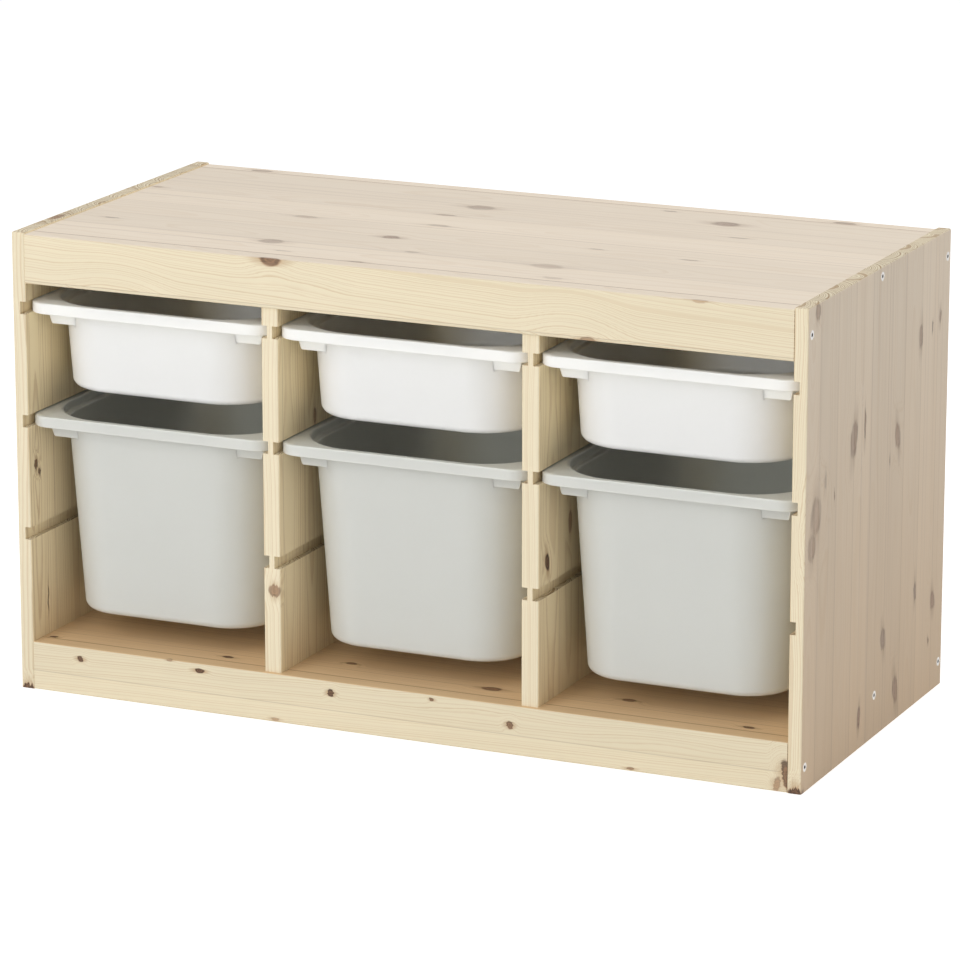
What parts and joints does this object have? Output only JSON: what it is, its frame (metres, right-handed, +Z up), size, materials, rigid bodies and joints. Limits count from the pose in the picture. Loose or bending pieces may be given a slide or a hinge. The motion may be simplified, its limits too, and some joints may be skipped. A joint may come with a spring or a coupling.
{
  "type": "toy storage frame with sliding bins",
  "caption": "Low open pine frame in bays, with grooved upright boards that carry shallow white and deep grey moulded bins by their flat rims.",
  "frame": {"origin": "middle of the footprint on the floor", "axes": "+X along the frame, -Y out of the open front, +Z up"},
  "size_m": [0.93, 0.44, 0.52],
  "materials": {
    "solid_pine": "clear acrylic lacquer",
    "beech_dowel": "raw",
    "plated_screw_steel": "zinc plated",
    "white_plastic": "satin moulded polypropylene",
    "grey_plastic": "satin moulded polypropylene"
  },
  "bodies": {
    "frame": {"side_panel_left": "solid_pine", "side_panel_right": "solid_pine", "divider_left": "solid_pine", "divider_right": "solid_pine", "top_panel": "solid_pine", "bottom_panel": "solid_pine", "top_front_rail": "solid_pine", "top_back_rail": "solid_pine", "bottom_front_rail": "solid_pine", "bottom_back_rail": "solid_pine", "side_screws_left": "plated_screw_steel", "side_screws_right": "plated_screw_steel", "divider_screws": "plated_screw_steel", "rail_dowels_left": "beech_dowel", "rail_dowels_right": "beech_dowel", "divider_dowels_left": "beech_dowel", "divider_dowels_right": "beech_dowel"},
    "shallow_left": {"shallow_bin_left": "white_plastic"},
    "deep_left": {"deep_bin_left": "grey_plastic"},
    "shallow_middle": {"shallow_bin_middle": "white_plastic"},
    "deep_middle": {"deep_bin_middle": "grey_plastic"},
    "shallow_right": {"shallow_bin_right": "white_plastic"},
    "deep_right": {"deep_bin_right": "grey_plastic"}
  },
  "joints": [
    {"name": "shallow_left_slide", "type": "slide", "parent": "frame", "child": "shallow_left", "axis": [0, -1, 0], "range_m": [0, 0.4]},
    {"name": "deep_left_slide", "type": "slide", "parent": "frame", "child": "deep_left", "axis": [0, -1, 0], "range_m": [0, 0.4]},
    {"name": "shallow_middle_slide", "type": "slide", "parent": "frame", "child": "shallow_middle", "axis": [0, -1, 0], "range_m": [0, 0.4]},
    {"name": "deep_middle_slide", "type": "slide", "parent": "frame", "child": "deep_middle", "axis": [0, -1, 0], "range_m": [0, 0.4]},
    {"name": "shallow_right_slide", "type": "slide", "parent": "frame", "child": "shallow_right", "axis": [0, -1, 0], "range_m": [0, 0.4]},
    {"name": "deep_right_slide", "type": "slide", "parent": "frame", "child": "deep_right", "axis": [0, -1, 0], "range_m": [0, 0.4]}
  ]
}
